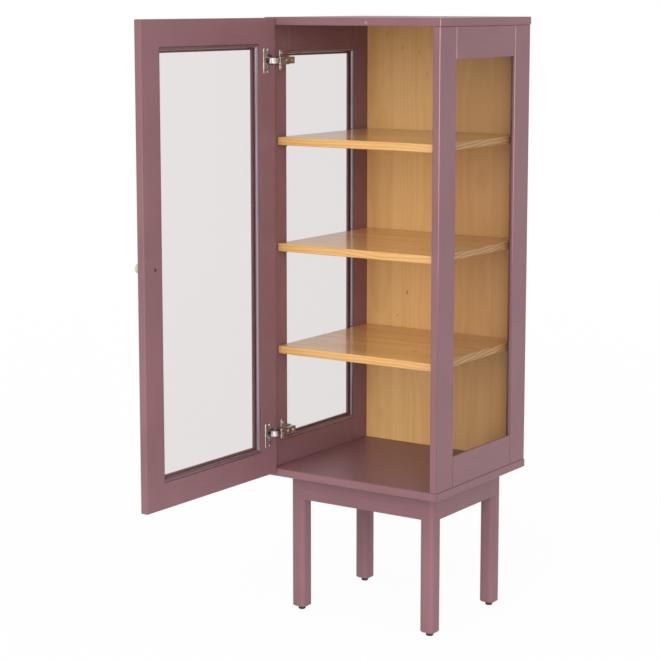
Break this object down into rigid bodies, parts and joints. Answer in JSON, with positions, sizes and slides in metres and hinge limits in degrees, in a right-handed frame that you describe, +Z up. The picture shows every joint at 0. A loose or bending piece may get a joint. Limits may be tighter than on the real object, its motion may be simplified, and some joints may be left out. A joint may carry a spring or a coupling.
{
  "type": "china cabinet",
  "caption": "Free-standing glazed china cabinet: a tall painted case with glass sides and a glass door on concealed hinges, pine shelves inside, on a low frame with legs.",
  "frame": {"origin": "on the floor, midway between the legs, under the middle of the top board", "axes": "+X to the right as one faces the door, +Y to the back, +Z up"},
  "size_m": [0.4832, 0.8656, 1.38],
  "materials": {
    "rose_paint": "satin rose paint",
    "solid_pine": "clear satin lacquer",
    "pine_veneer": "clear matt lacquer",
    "raw_beech": "planed",
    "pale_lacquer": "pale satin lacquer",
    "clear_glass": "polished",
    "strip_plastic": "gloss",
    "clear_plastic": "clear",
    "black_plastic": "matt",
    "nickel_plate": "nickel plated",
    "zinc_steel": "zinc plated"
  },
  "bodies": {
    "cabinet": {"top_board": "rose_paint", "bottom_board": "rose_paint", "case_tenons": "raw_beech", "left_front_stile": "rose_paint", "left_rear_stile": "rose_paint", "left_top_rail": "rose_paint", "left_bottom_rail": "rose_paint", "left_glass": "clear_glass", "left_glazing_strips": "strip_plastic", "right_front_stile": "rose_paint", "right_rear_stile": "rose_paint", "right_top_rail": "rose_paint", "right_bottom_rail": "rose_paint", "right_glass": "clear_glass", "right_glazing_strips": "strip_plastic", "back_panel": "pine_veneer", "back_screws": "zinc_steel", "top_shelf": "solid_pine", "middle_shelf": "solid_pine", "bottom_shelf": "solid_pine", "shelf_pins": "zinc_steel", "door_bumper": "clear_plastic", "front_apron": "rose_paint", "rear_apron": "rose_paint", "left_apron": "rose_paint", "right_apron": "rose_paint", "front_left_leg": "rose_paint", "front_right_leg": "rose_paint", "rear_left_leg": "rose_paint", "rear_right_leg": "rose_paint", "corner_blocks": "raw_beech", "frame_screws": "zinc_steel", "floor_glides": "black_plastic", "upper_hinge_plate": "nickel_plate", "lower_hinge_plate": "nickel_plate", "upper_hinge_arm": "nickel_plate", "lower_hinge_arm": "nickel_plate", "hinge_plate_screws": "nickel_plate", "hinge_arm_screws": "nickel_plate", "hinge_arm_pins": "nickel_plate"},
    "hinge_links": {"upper_hinge_link": "nickel_plate", "lower_hinge_link": "nickel_plate"},
    "door": {"door_hinge_stile": "rose_paint", "door_free_stile": "rose_paint", "door_top_rail": "rose_paint", "door_bottom_rail": "rose_paint", "door_glass": "clear_glass", "door_glazing_strips": "strip_plastic", "upper_hinge_cup": "nickel_plate", "lower_hinge_cup": "nickel_plate", "hinge_cup_pins": "nickel_plate", "hinge_cup_screws": "nickel_plate", "door_knob": "pale_lacquer", "knob_screw": "zinc_steel"}
  },
  "joints": [
    {"name": "hinge_link_swing", "type": "hinge", "parent": "cabinet", "child": "hinge_links", "pos_m": [-0.192, -0.194, 0.858], "axis": [0, 0, 1], "range_deg": [-42.5, 3.3]},
    {"name": "door_swing", "type": "hinge", "parent": "hinge_links", "child": "door", "pos_m": [-0.20002, -0.21952, 0.858], "axis": [0, 0, 1], "range_deg": [-10, 133.45]}
  ],
  "couplings": [
    {"joint": "hinge_link_swing", "follows": "door_swing", "ratio": -0.3166}
  ]
}
